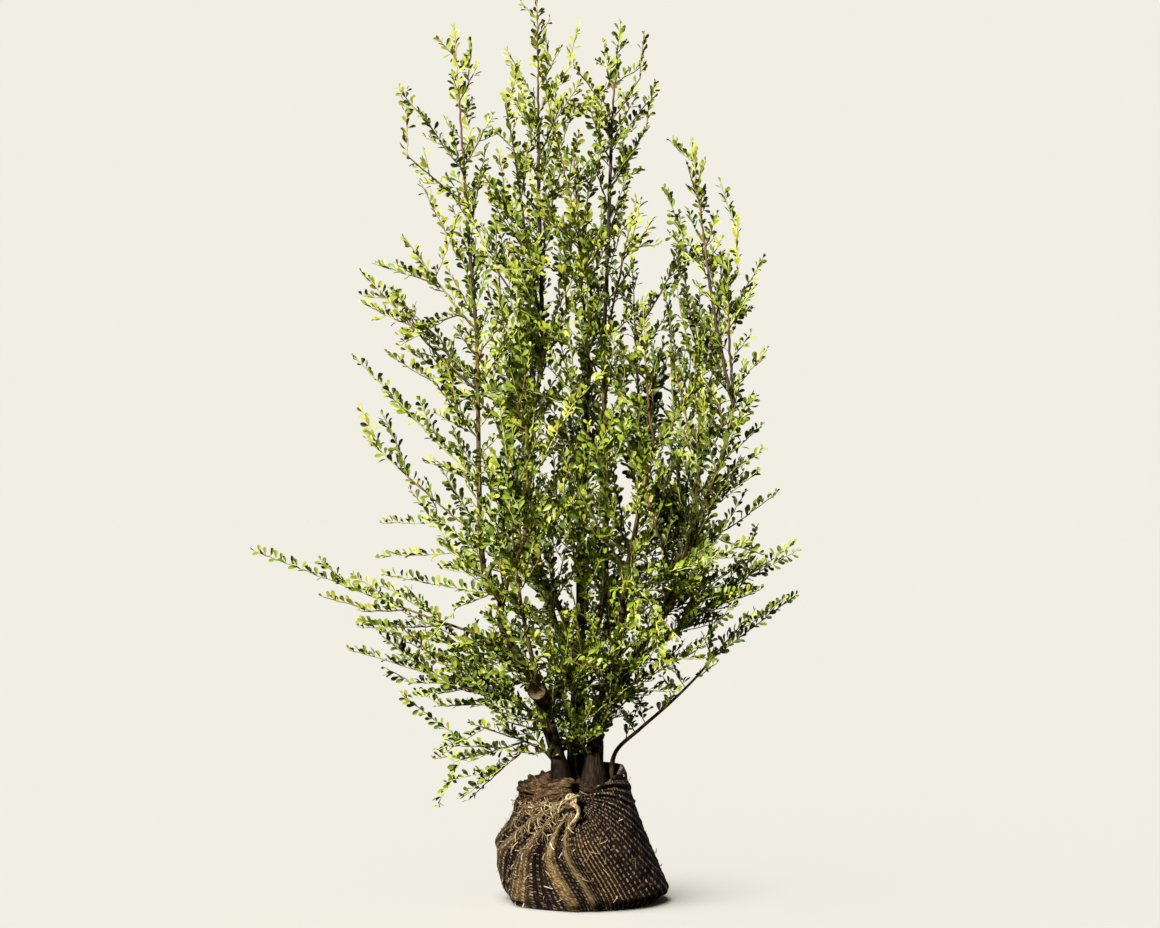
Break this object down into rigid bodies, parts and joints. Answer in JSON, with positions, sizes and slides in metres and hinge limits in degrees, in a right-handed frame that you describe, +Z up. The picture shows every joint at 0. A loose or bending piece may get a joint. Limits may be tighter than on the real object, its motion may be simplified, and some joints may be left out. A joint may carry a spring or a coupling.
{
  "type": "evergreen shrub sapling with wrapped root ball",
  "caption": "Bushy multi-stemmed evergreen shrub with small leaves, standing on a root ball wrapped and tied in jute cloth.",
  "frame": {"origin": "middle of the flat underside of the wrapped root ball, on the surface it stands on", "axes": "+Z up along the stems, +X to the right of a viewer at the knot in the jute, -Y the front, towards that viewer"},
  "size_m": [0.9586, 0.5345, 1.5941],
  "materials": {
    "bark": "grey-brown bark, matte, finely ridged",
    "foliage": "small smooth evergreen leaves, satin",
    "jute": "coarse dark brown open-woven jute, matte",
    "soil": "dark moist soil, matte, crumbly"
  },
  "bodies": {
    "root": {"root_ball": "soil", "jute_wrap": "jute", "wrap_knot": "jute", "stem_left": "bark", "stem_middle": "bark", "stem_right": "bark", "stem_back": "bark", "limb_left": "bark", "limb_left_outer": "bark", "limb_middle": "bark", "limb_right": "bark", "limb_right_outer": "bark", "limb_front": "bark", "limb_front_left": "bark", "limb_back_left": "bark", "limb_back_right": "bark", "bough_far_left": "bark", "bough_left_foot": "bark", "bough_left_droop": "bark", "bough_right_low": "bark", "bough_far_right": "bark", "mass_far_left": "foliage", "mass_left_droop": "foliage", "mass_far_right": "foliage", "mass_left_foot": "foliage", "mass_left_skirt": "foliage", "mass_left_low": "foliage", "mass_left_mid": "foliage", "mass_left_wing": "foliage", "mass_left_shoulder": "foliage", "mass_left_upper": "foliage", "mass_left_leader": "foliage", "mass_centre_leader": "foliage", "mass_centre_right": "foliage", "mass_right_leader": "foliage", "mass_right_shoulder": "foliage", "mass_right_mid": "foliage", "mass_right_low": "foliage", "mass_right_inner": "foliage", "mass_centre_left": "foliage", "mass_foot_right": "foliage", "mass_foot_front": "foliage", "mass_front_low_left": "foliage", "mass_front_low_right": "foliage", "mass_front_left": "foliage", "mass_front_upper": "foliage", "mass_front_heart": "foliage", "mass_front_top": "foliage", "mass_back_low_left": "foliage", "mass_back_low_right": "foliage", "mass_back_low": "foliage", "mass_back_left": "foliage", "mass_back_right": "foliage", "mass_back_mid": "foliage", "mass_back_upper": "foliage", "mass_heart_left": "foliage", "mass_heart_middle": "foliage", "mass_heart_right": "foliage", "mass_heart_low": "foliage"}
  },
  "joints": []
}
